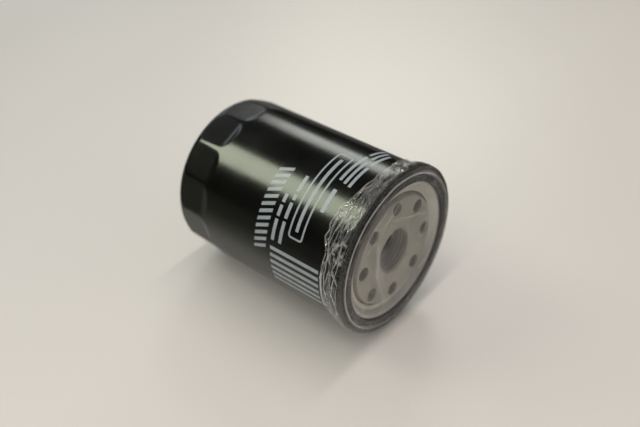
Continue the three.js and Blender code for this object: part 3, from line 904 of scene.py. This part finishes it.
def build_clip():
    """A U-shaped strip along the pleats, on the side where the CAD part lies."""
    inner, outer, sheet = 23.6, 27.9, 0.4
    start, end, border, corner = 16.6, 72.6, 0.1, 0.14
    half_gap = 0.26 * 2 * PI / PLEATS * 27.2 + 0.32
    half = half_gap + sheet
    section = [
        (inner, -half_gap), (inner, -half), (outer, -half), (outer, half),
        (inner, half), (inner, half_gap), (outer - sheet, half_gap), (outer - sheet, -half_gap),
    ]
    low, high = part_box("media_seam_clip")
    centre_y, centre_z = low[1] + high[1], low[2] + high[2]
    if abs(centre_y) > abs(centre_z):
        side = 1 if centre_y > 0 else -1
        corners = [(side * out, across, corner) for out, across in section]
    else:
        side = 1 if centre_z > 0 else -1
        corners = [(across, side * out, corner) for out, across in section]
    outline = round_corners(corners, 3)
    count = len(outline)
    stations = [start, start + border, end - border, end]
    verts = [(x, y, z) for x in stations for y, z in outline]
    faces = grid_faces(len(stations), count, close_rows=False)
    faces.append(list(range(count))[::-1])
    faces.append([3 * count + k for k in range(count)])
    new_part("seam_clip", verts, faces, "element", "tin_steel", "media_seam_clip")


def build_tube():
    """The centre tube, with staggered rows of round holes."""
    outline = densify(round_corners(ring_section(14.9, 74.3, 13.0, 13.6, corner=0.12), 2), 6)
    tube = lathe("tube_perforated", outline, 120, "element", "tin_steel", "centre_tube")
    rows, row_holes, first_row, row_pitch, hole_radius, steps = 6, 6, 23.0, 8.6, 1.5, 24
    verts, faces = [], []
    for row in range(rows):
        for k in range(row_holes):
            angle = (k + (row % 2) / 2 + 0.125) * 2 * PI / row_holes
            c, s = math.cos(angle), math.sin(angle)
            quads, first, last = drill_faces(len(verts), steps, 2)
            for step in range(steps):
                t = step / steps * 2 * PI
                x = first_row + row * row_pitch + hole_radius * math.cos(t)
                aside = hole_radius * math.sin(t)
                verts += [(x, r * c - aside * s, r * s + aside * c) for r in (11.5, 15.5)]
            faces += quads + [first, last[::-1]]
    cut_away(tube, [mesh_object("cutter", verts, faces)])


build_media()
build_clip()
build_tube()

# Corners of the element's end caps: (x, r, corner radius)
DOME_CAP = [(14.0, 9.6, 0.1), (14.0, 28.8, 0.7), (18.0, 28.8, 0.15), (18.0, 28.2, 0.1),
            (14.6, 28.2, 0.3), (14.6, 9.6, 0.1)]
THREAD_CAP = [(71.6, 12.0, 0.1), (75.2, 12.0, 0.7), (75.2, 28.8, 0.7), (71.2, 28.8, 0.15),
              (71.2, 28.2, 0.1), (74.6, 28.2, 0.3), (74.6, 12.6, 0.3), (71.6, 12.6, 0.1)]


def bond_waves(along, radius, angle):
    """One wave to a pleat, deeper at the rim."""
    return along, radius + np.where(radius > 20, 0.12 * np.sin(angle * PLEATS),
                                    0.08 * np.sin(angle * PLEATS + 1))


for name, corners, part in (("cap_dome_end", DOME_CAP, "upper_end_cap"),
                            ("cap_thread_end", THREAD_CAP, "lower_end_cap")):
    lathe(name, densify(round_corners(corners), 3), 128, "element", "tin_steel", part)
for name, x_start, part in (("bond_dome_end", 14.9, "upper_bond_ring"),
                            ("bond_thread_end", 73.3, "lower_bond_ring")):
    section = ring_section(x_start, x_start + 1.0, 14.1, 27.7, corner=0.35)
    lathe(name, round_corners(section), 216, "element", "plastisol", part, bond_waves)

# --------------------------------------------------------------- bypass valve
# Corners of the seat ring and the cage: (x, r, corner radius)
SEAT = [(12.9, 6.2, 0.25), (12.9, 11.0, 0.3), (13.7, 11.0, 0.3), (13.7, 9.2, 0.25),
        (14.9, 9.2, 0.3), (14.9, 7.2, 0.2), (15.2, 6.9, 0.1), (15.2, 6.2, 0.1)]
CAGE = [(26.9, 2.3, 0.1), (26.9, 9.5, 0.3), (14.9, 9.5, 0.3), (14.9, 12.4, 0.15),
        (15.5, 12.4, 0.15), (15.5, 10.1, 0.4), (27.5, 10.1, 0.8), (27.5, 2.3, 0.1)]
# The poppet from axis to axis: (x, r)
POPPET = np.array([
    (15.5, 0), (15.5, 2.9), (15.6, 3.0), (16.6, 3.0), (16.6, 8.05), (16.75, 8.2), (17.05, 8.2),
    (17.2, 8.05), (17.2, 3.4), (17.35, 3.2), (18.5, 3.2), (18.7, 3.0), (19.4, 2.0), (19.6, 1.9),
    (28.1, 1.9), (28.4, 1.6), (28.4, 0)])


def build_cage():
    """A cup with four windows, cut by two crossed blocks."""
    cage = lathe("valve_cage", densify(round_corners(CAGE, 3), 2), 96, "element", "tin_steel",
                 "bypass_cage")
    middle = Vector((21.4, 0, 0)) * MM
    size = (8.6 * MM, 7.0 * MM, 30 * MM, 1)
    cutters = []
    for k in range(2):
        mesh = bpy.data.meshes.new("cutter")
        bm = bmesh.new()
        bmesh.ops.create_cube(bm, size=1.0)
        bm.transform(Matrix.Rotation(k * PI / 2 + PI / 4, 4, "X") @ Matrix.Translation(middle)
                     @ Matrix.Diagonal(size))
        bmesh.ops.bevel(bm, geom=list(bm.edges), offset=1.2 * MM, segments=3, affect="EDGES")
        bm.to_mesh(mesh)
        bm.free()
        cutter = bpy.data.objects.new("cutter", mesh)
        scene.collection.objects.link(cutter)
        cutters.append(cutter)
    cut_away(cage, cutters)


def build_poppet():
    segments = 64
    line = POPPET[1:-1]
    count = len(line)
    poles = [(POPPET[0][0], 0, 0), (POPPET[-1][0], 0, 0)]
    verts = np.vstack([poles, to_points(*spin(line, full_turn(segments))).reshape(-1, 3)])
    faces = []
    for i in range(segments):
        a, b = 2 + i * count, 2 + (i + 1) % segments * count
        faces.append((0, a, b))
        faces += [(a + j, a + j + 1, b + j + 1, b + j) for j in range(count - 1)]
        faces.append((a + count - 1, 1, b + count - 1))
    new_part("valve_disc", verts, faces, "bypass_valve", "valve_nylon", "bypass_poppet")


def build_spring(name, part, radius, wire, x0, x1, turns):
    """A coil from x0 to x1 with closed end turns."""
    steps_per_turn, sides = 40, 14
    rise = wire + 0.3  # of each end turn
    first, last = x0 + wire / 2, x1 - wire / 2
    pitch = (last - first - 2 * rise) / (turns - 2)
    count = int(turns * steps_per_turn)
    line = []
    for i in range(count + 1):
        turn = i / count * turns
        if turn < 1:
            x = first + rise * turn
        elif turn > turns - 1:
            x = last - rise * (turns - turn)
        else:
            x = first + rise + pitch * (turn - 1)
        angle = turn * 2 * PI
        line.append((x, radius * math.cos(angle), radius * math.sin(angle)))
    line = np.array(line)
    verts = []
    for i, point in enumerate(line):
        tangent = line[min(i + 1, count)] - line[max(i - 1, 0)]
        tangent /= np.linalg.norm(tangent)
        outward = np.array([0, point[1], point[2]])
        outward /= np.linalg.norm(outward)
        outward -= tangent * (outward @ tangent)
        outward /= np.linalg.norm(outward)
        sideways = np.cross(tangent, outward)
        for t in full_turn(sides):
            verts.append(point + wire / 2 * (math.cos(t) * outward + math.sin(t) * sideways))
    faces = grid_faces(count + 1, sides, close_rows=False)
    faces.append(list(range(sides))[::-1])
    faces.append([count * sides + k for k in range(sides)])
    ob = coated_object(name, verts, faces, "spring_steel", 50)
    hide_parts(part)
    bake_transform(ob)


lathe("valve_seat_ring", round_corners(SEAT, 3), 72, "element", "tin_steel",
      "bypass_valve_seat")
build_cage()
build_poppet()
lathe("valve_washer", round_corners(ring_section(15.5, 16.3, 3.3, 8.0, corner=0.18), 3), 72,
      "bypass_valve", "valve_rubber", "bypass_seal")
build_spring("spring_valve", "bypass_spring", radius=5.4, wire=0.8, x0=17.5, x1=26.6, turns=4.5)
build_spring("spring_hold_down", "element_spring", radius=16.0, wire=1.8, x0=0.95, x1=13.7,
             turns=3.5)

# ----------------------------------------------------------------- film's mesh
# From the middle of the face, over the seam, on to the can: (x, r)
FILM_LINE = np.array([
    (88.80, 0.0), (88.80, 27.0), (88.82, 30.4), (88.70, 31.0), (88.18, 32.3), (88.05, 33.2),
    (87.85, 33.9), (87.45, 34.27), (86.9, 34.33), (84.6, 34.33), (84.1, 34.25), (83.5, 33.95),
    (82.2, 33.15), (81.0, 32.78), (80.0, 32.64), (76.0, 32.60), (73.0, 32.60)])
FILM_LENGTHS = np.concatenate(
    [[0], np.cumsum(np.linalg.norm(np.diff(FILM_LINE, axis=0), axis=1))])
WALL_POINT = 10  # FILM_LINE runs steadily towards -X from here
# Torn edge of the film: (angle in degrees, x)
FILM_EDGE = np.array([
    (-180, 79.5), (-150, 77.6), (-120, 79.8), (-95, 78.2), (-70, 79.6), (-45, 78.0),
    (-20, 78.9), (1, 80.8), (15, 80.1), (31, 78.6), (35, 77.2), (44, 76.0), (53, 76.6),
    (58, 76.3), (64, 78.1), (75, 78.2), (84, 78.1), (96, 78.2), (106, 78.3), (114, 79.4),
    (125, 80.3), (150, 78.4), (180, 79.5)])
FILM_THICKNESS = 0.035
FILM_SEGMENTS = 640
# Lengths along the line
GASKET_START = 27.0
GATHER_START = 32.8
CREST_END = 34.6
RIM_ROWS, SKIRT_ROWS = 23, 44


def film_points(s):
    """Softened (x, r) of the film line at length s."""
    total = 0
    for shift, weight in ((-0.5, 0.1), (-0.25, 0.2), (0, 0.4), (0.25, 0.2), (0.5, 0.1)):
        at = np.clip(s + shift, 0, FILM_LENGTHS[-1])
        point = [np.interp(at, FILM_LENGTHS, FILM_LINE[:, axis]) for axis in (0, 1)]
        total = total + weight * np.stack(point, -1)
    return total


def film_edge(angles):
    """Length along the line at which the ragged edge lies, for each angle."""
    edge = np.interp(np.degrees(angles), FILM_EDGE[:, 0], FILM_EDGE[:, 1])
    for i, angle in enumerate(angles):
        c, s = math.cos(angle), math.sin(angle)
        total, weights, weight = 0.0, 0.0, 1.0
        point = Vector((c * 9, s * 9, 3.1))
        for _ in range(4):
            total += weight * noise.noise(point)
            weights += weight
            weight *= 0.5
            point = point * 2.0
        notch = abs(noise_at(c * 26, s * 26, 7.7))
        edge[i] += 0.9 * total / weights - 1.1 * max(0, notch - 0.42) * 2.5
    return np.interp(-edge, -FILM_LINE[WALL_POINT:, 0], FILM_LENGTHS[WALL_POINT:])


def bell(value, middle, width):
    return math.exp(-((value - middle) / width) ** 2)


def gasket_relief(s, cos, sin):
    """Height and haze over the gasket, where the film clings in patches, with a painted highlight
    line where the film bends at s = 31.55.
    """
    broad = noise_at(cos * 7.0, sin * 7.0, s * 0.55 + 17.0)
    small = noise_at(cos * 16.0, sin * 16.0, s * 0.9 + 27.0)
    fade = min(1.0, (s - GASKET_START) / 0.8, (GATHER_START - s) / 0.8 + 0.35)
    # painted highlight: a bright line where the film bends over the gasket's outer edge
    return fade * (0.13 * broad + 0.03 * small), 0.003 + 0.50 * bell(s, 31.55, 0.24)


def gather_relief(s, to_end, cos, sin, degrees):
    """Height and haze of the ridges and of the lifted free edge, with painted glints along the
    ridges and a painted highlight line on the seam's crest.
    """
    fade = min(1.0, (s - GATHER_START) / 2.0)
    warp = noise_at(cos * 4.5, sin * 4.5, s * 0.5)
    small_warp = noise_at(cos * 11.0, sin * 11.0, s * 1.1 + 4.0)
    # ridges stand where these are near zero
    broad = abs(noise_at(cos * 3.4 + small_warp * 0.12, sin * 3.4, s * 0.36 + warp * 0.6))
    small = abs(noise_at(cos * 6.5, sin * 6.5 + warp * 0.2, s * 0.55 + 11.0 + warp * 0.7))
    height = 0.22 * math.exp(-broad / 0.13) + 0.07 * math.exp(-small / 0.17)
    # stretched over the seam's crest the gathers are small
    busy = bell(degrees, 32.0, 32.0)
    tight = 0.20 + 0.2 * busy
    if s >= 34.8:
        tight += (0.80 - 0.2 * busy) * min(1.0, (s - 34.8) / (3.2 - 1.8 * busy))
    lift = 0.5 * max(0.0, 1 - to_end / 1.3) * (0.45 + noise_at(cos * 12, sin * 12, 2.0))
    # haze on the ridges: partly real whitening, partly painted glints
    haze_and_painted_light = 0.003 + fade * (0.13 * bell(broad, 0, 0.055) + 0.03 * bell(small, 0, 0.075)) * tight
    # a painted highlight line along the seam's crest at s = 34.4
    haze_and_painted_light += 0.24 * bell(to_end, 0, 0.26) + 0.05 * bell(s, 34.4, 0.22)
    return fade * (height * tight + max(0.0, lift)), haze_and_painted_light


def film_relief(lengths, ends, angles, radius):
    """Grids of height above the film line and of haze, with the painted highlight lines."""
    height, haze_and_painted_light = np.zeros_like(lengths), np.zeros_like(lengths)
    rows, columns = lengths.shape
    face_columns = columns - SKIRT_ROWS
    for i, angle in enumerate(angles):
        cos, sin, degrees = math.cos(angle), math.sin(angle), math.degrees(angle)
        for j in range(face_columns - RIM_ROWS, columns):
            s = lengths[i, j]
            if s >= GATHER_START:
                height[i, j], haze_and_painted_light[i, j] = gather_relief(s, ends[i] - s, cos, sin, degrees)
                continue
            if s > GASKET_START:
                height[i, j], haze_and_painted_light[i, j] = gasket_relief(s, cos, sin)
            # a lighter band over the rim, centred 40 degrees from +Z towards +Y
            haze_and_painted_light[i, j] += 0.10 * bell(degrees, -40.0, 30.0) * bell(s, 32.5, 0.7)
        # slow unevenness of the stretched face
        for j in range(face_columns):
            if lengths[i, j] < 31.5:
                y, z = -radius[i, j] * sin, radius[i, j] * cos
                height[i, j] += 0.035 * noise_at(y * 0.10, z * 0.10, 0.5)
    haze_and_painted_light += np.where(lengths < 31.2, 0.003, 0.0)
    return height, haze_and_painted_light


def build_film():
    angles = full_turn(FILM_SEGMENTS) - PI
    ends = film_edge(angles)
    # sparse on the flat face, dense over the seam and skirt
    face = np.concatenate([np.linspace(0.5, 26.5, 10),
                           np.linspace(26.5, CREST_END, RIM_ROWS + 1)[1:]])
    skirt = np.linspace(0, 1, SKIRT_ROWS + 1)[1:]
    lengths = np.hstack([np.tile(face, (FILM_SEGMENTS, 1)),
                         CREST_END + (ends[:, None] - CREST_END) * skirt])
    columns = lengths.shape[1]
    line = film_points(lengths)
    along, radius = line[..., 0], line[..., 1]
    step = film_points(lengths + 0.15) - film_points(lengths - 0.15)
    size = np.hypot(step[..., 0], step[..., 1]) + 1e-9
    normal_x, normal_r = step[..., 1] / size, -step[..., 0] / size
    height, haze_and_painted_light = film_relief(lengths, ends, angles, radius)

    def shell(offset):
        lift = height + offset
        return to_points(along + normal_x * lift, radius + normal_r * lift, angles[:, None])

    outer, inner = shell(FILM_THICKNESS), shell(0.0)
    centres = [[side[:, 0, 0].mean(), 0, 0] for side in (outer, inner)]
    verts = np.vstack([outer.reshape(-1, 3), inner.reshape(-1, 3), centres])
    under = FILM_SEGMENTS * columns  # index of the inner side's first point
    faces = []
    for i in range(FILM_SEGMENTS):
        a, b = i * columns, (i + 1) % FILM_SEGMENTS * columns
        for j in range(columns - 1):
            faces.append((a + j, b + j, b + j + 1, a + j + 1))
            faces.append((under + a + j, under + a + j + 1, under + b + j + 1, under + b + j))
        last = columns - 1
        faces.append((a + last, b + last, under + b + last, under + a + last))
        faces.append((2 * under, b, a))
        faces.append((2 * under + 1, under + a, under + b))
    film = new_part("film_wrap", verts, faces, "film", "clear_film", "shrink_film_cap", None)
    values = np.concatenate([haze_and_painted_light.ravel(), haze_and_painted_light.ravel(), [0.03, 0.03]])
    attribute = film.data.attributes.new("haze_and_painted_light", "FLOAT", "POINT")
    attribute.data.foreach_set("value", np.clip(values, 0, 0.6).astype(np.float32))


build_film()


# ------------------------------------------------------------- stage (metres)
def placement(x_axis, y_axis, z_axis, location):
    turn = Matrix((x_axis, y_axis, z_axis)).transposed().to_4x4()
    return Matrix.Translation(location) @ turn


def build_camera():
    right = Vector((0.7587, 0.6511, 0.0)).normalized()
    up = Vector((-0.3797, 0.4420, 0.8128))
    back = right.cross(up).normalized()
    up = back.cross(right).normalized()
    data = bpy.data.cameras.new("camera")
    data.sensor_width = 36.0
    data.lens = 48.8176875
    data.clip_start, data.clip_end = 0.01, 20
    camera = bpy.data.objects.new("camera", data)
    scene.collection.objects.link(camera)
    camera.matrix_world = placement(right, up, back, Vector((0.2319, -0.2120, 0.1999)))
    scene.camera = camera
    return data


def table_material():
    """Pale satin table. Seen mirrored in the filter it is darker in most places: a painted
    reflection, its brightness set by position.
    """
    M = Shader("table_top")
    x, y = M.mm("xy")
    fine = M.noise(scale=900, detail=4, rough=0.6)
    cloud = M.noise(scale=3, detail=3, rough=0.5)
    color = M.mix(cloud.fade(0.3, 0.7), (0.672, 0.642, 0.604), (0.692, 0.662, 0.624))
    # painted reflection: brightness in reflections, falling with distance from the strip x = 0 to
    # 88
    beyond = ((x - 44.0).abs() - 44.0).max(0.0)
    distance = (hypot(y, beyond) - 26.0) / 150.0
    near = (1.0 - distance.clamp()) ** 1.5
    # painted shade beyond x = 80, painted light far out on +Y and a painted brighter patch on -Y,
    # in reflections only
    painted_shade_zone = x.fade(80.0, 92.0) * (y - (x - 112.0) * 0.9).fade(60.0, 42.0)
    painted_lit_zone = y.fade(95.0, 140.0, to=(0.0, 1.3)) * 1.3 * x.fade(40.0, 90.0) * x.fade(290.0, 230.0)
    painted_bright_patch = y.fade(-5.0, -20.0, to=(0.0, 0.6)) * y.fade(-58.0, -38.0) * x.fade(84.0, 70.0)
    painted_reflection = ((near * 0.72 + 0.13) * (1.0 - painted_shade_zone * 0.78) * (painted_bright_patch + 1.0)).max(painted_lit_zone)
    glossy_ray = M.num(M.node("ShaderNodeLightPath").outputs["Is Glossy Ray"])
    brightness = 1.0 - glossy_ray * (1.0 - painted_reflection)
    # painted shade: the table darkens towards -X, by up to a quarter
    brightness = brightness * (1.0 - x.fade(-60.0, -330.0, to=(0.0, 0.24)))
    scaled = M.node("ShaderNodeVectorMath", {0: color, 3: brightness}, operation="SCALE")
    normal = M.bump(fine, strength=0.03, dist=0.0002)
    rough = fine.remap(0.3, 0.7, to=(0.36, 0.44))
    return M.principled(scaled.outputs[0], rough, normal, specular=0.8)


def build_table():
    half = 3.0
    mesh = bpy.data.meshes.new("table")
    mesh.from_pydata([(-half, -half, 0), (half, -half, 0), (half, half, 0), (-half, half, 0)],
                     [], [(0, 1, 2, 3)])
    table = bpy.data.objects.new("table", mesh)
    scene.collection.objects.link(table)
    mesh.materials.append(table_material())
    # the wrapped seam is fatter than the closed end, so the table slopes under the filter;
    # (x, z) of the two resting points in millimetres
    seam_x, seam_z = 84.5, -34.95
    closed_x, closed_z = 8.0, -32.15
    slope = math.atan((closed_z - seam_z) / (seam_x - closed_x))
    table.rotation_euler = (0, slope, 0)
    table.location = (seam_x * MM, 0, seam_z * MM)


def area_light(name, width, length, radiance, color):
    data = bpy.data.lights.new(name, "AREA")
    data.shape = "RECTANGLE"
    data.size, data.size_y = width, length
    data.energy = PI * width * length * radiance
    data.color = color
    ob = bpy.data.objects.new(name, data)
    scene.collection.objects.link(ob)
    ob.visible_camera = False
    return ob


FRONT_WINDOW = ((-0.590, -0.410, 0.695), 1.8, 0.83, 0.74)
BACK_WINDOW = ((-0.470, 0.684, 0.555), 2.4, 0.80, 0.66)
# Panels: name, (direction, distance, width, length), radiance, colour, rays it is hidden from
PANELS = [
    ("window_front", FRONT_WINDOW, 9.0, (0.93, 1.0, 0.765), "diffuse"),
    ("window_front_soft", FRONT_WINDOW, 4.2, (0.93, 1.0, 0.80), "glossy"),
    ("room_front", ((0.10, -0.80, 0.60), 2.0, 1.6, 1.0), 1.8, (1, 0.98, 0.95), "glossy"),
    ("window_back", BACK_WINDOW, 5.0, (0.965, 1.0, 0.925), "diffuse"),
    ("window_back_soft", BACK_WINDOW, 2.8, (0.965, 1.0, 0.925), "glossy"),
    ("wall_back", ((-0.800, 0.33, 0.50), 2.4, 0.62, 1.9), 1.5, (0.90, 0.97, 1.0), None),
]
PANEL_TARGET = Vector((0.045, 0, 0))


def build_lights():
    for name, (direction, distance, width, length), radiance, color, hidden in PANELS:
        panel = area_light(name, width, length, radiance, color)
        # the width lies along X as nearly as the direction allows
        z_axis = Vector(direction).normalized()
        x_axis = (Vector((1, 0, 0)) - z_axis * z_axis.x).normalized()
        panel.matrix_world = placement(x_axis, z_axis.cross(x_axis), z_axis,
                                       PANEL_TARGET + z_axis * distance)
        if hidden:
            setattr(panel, "visible_" + hidden, False)
    # a long tube overhead, nearly square to the filter's axis
    tube = area_light("tube_overhead", width=0.03, length=1.4, radiance=39.0,
                      color=(1.0, 0.925, 0.895))
    tube.location = (0.066, 0, 1.2)
    tube.rotation_euler = (0, 0, 0.075)


def build_world():
    world = bpy.data.worlds.new("room")
    scene.world = world
    world.use_nodes = True
    tree = world.node_tree
    tree.nodes.clear()
    background = add_node(tree, "ShaderNodeBackground", {0: (1.0, 0.968, 0.935), 1: 0.43})
    add_node(tree, "ShaderNodeOutputWorld", {0: background.outputs[0]})
    # the room does not show in the gloss
    world.cycles_visibility.glossy = False
    scene.view_settings.view_transform = "Standard"
    scene.view_settings.look = "None"


def set_focus(camera_data):
    focus = bpy.data.objects.new("focus_point", None)
    scene.collection.objects.link(focus)
    focus.location = (0.075, -0.030, 0.008)
    camera_data.dof.use_dof = True
    camera_data.dof.focus_object = focus
    camera_data.dof.aperture_fstop = 6.3


camera_data = build_camera()
build_table()
build_lights()
build_world()
set_focus(camera_data)
